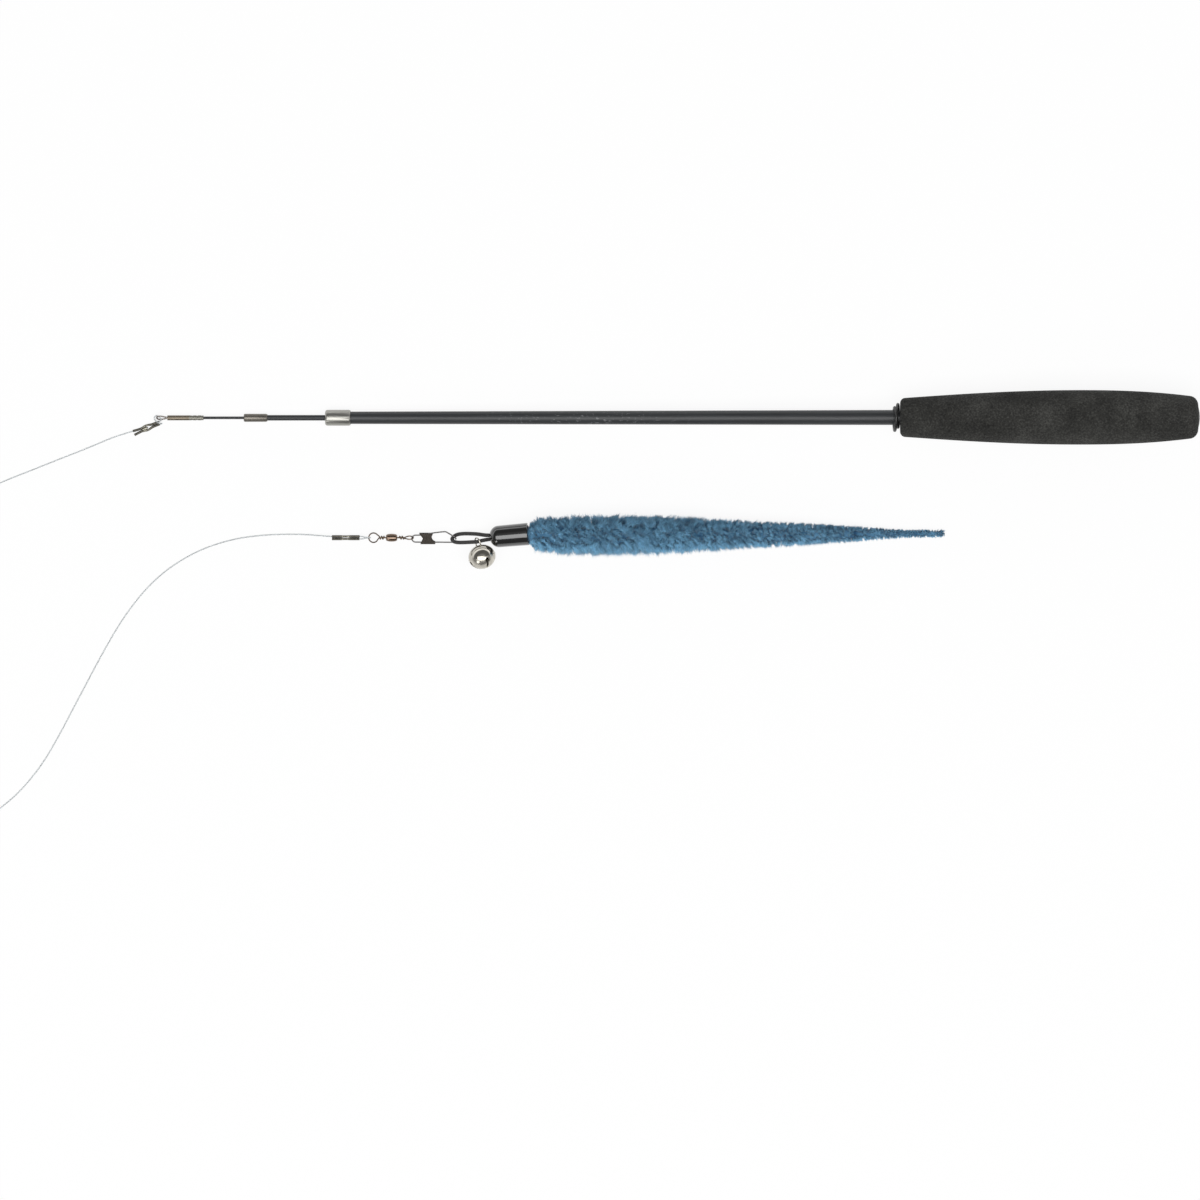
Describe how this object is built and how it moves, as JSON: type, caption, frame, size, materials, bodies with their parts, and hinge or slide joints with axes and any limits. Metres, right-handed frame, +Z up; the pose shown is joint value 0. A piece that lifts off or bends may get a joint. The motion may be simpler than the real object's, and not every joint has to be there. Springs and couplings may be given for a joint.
{
  "type": "cat teaser wand",
  "caption": "Telescoping teaser wand with foam grip, and a clear line that ends in a swivel, a snap and a pile tail toy with a bell.",
  "frame": {"origin": "on the surface that the object lies on, under the middle of the box round the wand and the toy", "axes": "+X from the wand's tip to its grip, +Y from the toy to the wand, +Z up from the surface"},
  "size_m": [0.4974, 0.1639, 0.0211],
  "materials": {
    "foam": "fine closed-cell foam, matte",
    "band": "satin",
    "tube": "lacquered fibre composite, semi-gloss",
    "plug": "matte",
    "nickel": "satin nickel plate",
    "bush": "plain turned",
    "line": "clear nylon",
    "dark_metal": "black nickel",
    "swivel": "dark bronze",
    "snap": "bright spring wire",
    "elastic": "braided cover, matte",
    "cap": "gloss",
    "core": "bright wire",
    "pile": "deep soft pile",
    "bell": "polished nickel plate",
    "pellet": "plain"
  },
  "bodies": {
    "root": {"foam_grip": "foam", "grip_ring": "band", "main_tube": "tube", "end_plug": "plug", "main_ferrule": "nickel"},
    "mid": {"mid_tube": "tube", "mid_bush": "bush", "mid_ferrule": "nickel"},
    "tip": {"tip_rod": "tube", "tip_bush": "bush", "tip_ferrule": "nickel", "tip_eye": "nickel"},
    "line": {"upper_line_loop": "line", "upper_crimp_sleeve": "dark_metal", "line_upper": "line", "line_coil": "line", "line_lower": "line", "lower_crimp_sleeve": "dark_metal", "lower_line_loop": "line"},
    "swivel_front": {"swivel_front_eye": "swivel"},
    "swivel_barrel": {"swivel_barrel": "swivel"},
    "swivel_rear": {"swivel_rear_eye": "swivel"},
    "snap": {"snap_wire": "snap", "snap_clip": "dark_metal"},
    "snap_gate": {"snap_gate": "snap"},
    "toy": {"elastic_loop": "elastic", "toy_cap": "cap", "tail_core": "core", "tail_pile": "pile"},
    "bell": {"bell_top": "bell", "bell_bottom": "bell", "bell_loop": "bell"},
    "pellet": {"bell_pellet": "pellet"}
  },
  "joints": [
    {"name": "mid_slide", "type": "slide", "parent": "root", "child": "mid", "axis": [-0.9997, 0, -0.0254], "range_m": [0, 0.2917]},
    {"name": "tip_slide", "type": "slide", "parent": "mid", "child": "tip", "axis": [-0.9997, 0, -0.0254], "range_m": [0, 0.3254]},
    {"name": "line_swing", "type": "hinge", "parent": "tip", "child": "line", "pos_m": [-0.19794, 0.02359, 0.00162], "axis": [0, 0, 1], "range_deg": [-110, 3]},
    {"name": "chain_lift", "type": "hinge", "parent": "line", "child": "swivel_front", "pos_m": [-0.11724, -0.02201, 0.002], "axis": [0, 1, 0], "range_deg": [-60, 60]},
    {"name": "front_spin", "type": "hinge", "parent": "swivel_front", "child": "swivel_barrel", "pos_m": [-0.11069, -0.02201, 0.002], "axis": [1, 0, 0], "continuous": true},
    {"name": "rear_spin", "type": "hinge", "parent": "swivel_barrel", "child": "swivel_rear", "pos_m": [-0.10643, -0.02201, 0.002], "axis": [1, 0, 0], "continuous": true},
    {"name": "snap_pivot", "type": "hinge", "parent": "swivel_rear", "child": "snap", "pos_m": [-0.10084, -0.02201, 0.002], "axis": [0, 0.9397, 0.342], "range_deg": [-45, 45]},
    {"name": "gate_open", "type": "hinge", "parent": "snap", "child": "snap_gate", "pos_m": [-0.08409, -0.02279, 0.00171], "axis": [0, 0.342, -0.9397], "range_deg": [0, 22], "stiffness_Nm_per_rad": 0.0005},
    {"name": "toy_swing", "type": "hinge", "parent": "snap", "child": "toy", "pos_m": [-0.08552, -0.02254, 0.00171], "axis": [0, 0, 1], "range_deg": [-25, 3]},
    {"name": "bell_swing", "type": "hinge", "parent": "toy", "child": "bell", "pos_m": [-0.07582, -0.02354, 0.0059], "axis": [0.9878, 0.147, 0.0511], "range_deg": [-20, 20]},
    {"name": "pellet_rattle", "type": "slide", "parent": "bell", "child": "pellet", "axis": [0.0264, -0.0885, 0.9957], "range_m": [0, 0.0062]}
  ]
}
